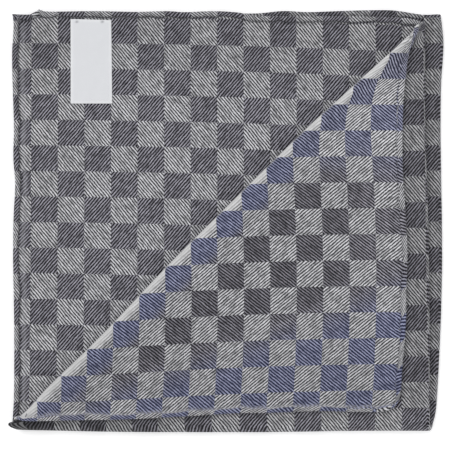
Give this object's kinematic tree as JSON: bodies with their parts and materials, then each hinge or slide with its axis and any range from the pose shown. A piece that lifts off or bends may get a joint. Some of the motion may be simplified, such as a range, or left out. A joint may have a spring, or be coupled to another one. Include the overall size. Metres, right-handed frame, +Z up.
{
  "type": "folded pocket square",
  "caption": "Checked cotton twill pocket square with a hand-rolled hem, folded in quarters with the top corner turned back along the diagonal and a bare tape label at its hem.",
  "frame": {"origin": "centre of the bounding box at its bottom, on the surface that the square lies on", "axes": "+Z up out of the side with the turned-back corner and the label, +X towards the folds at the right, +Y from the bottom fold towards the hem with the label"},
  "size_m": [0.1654, 0.161, 0.0094],
  "materials": {
    "checked_twill": "matt cotton twill woven in light grey and charcoal checks with a blue yarn",
    "label_tape": "soft satin-woven white tape"
  },
  "bodies": {
    "root": {"cloth": "checked_twill", "label": "label_tape"}
  },
  "joints": []
}
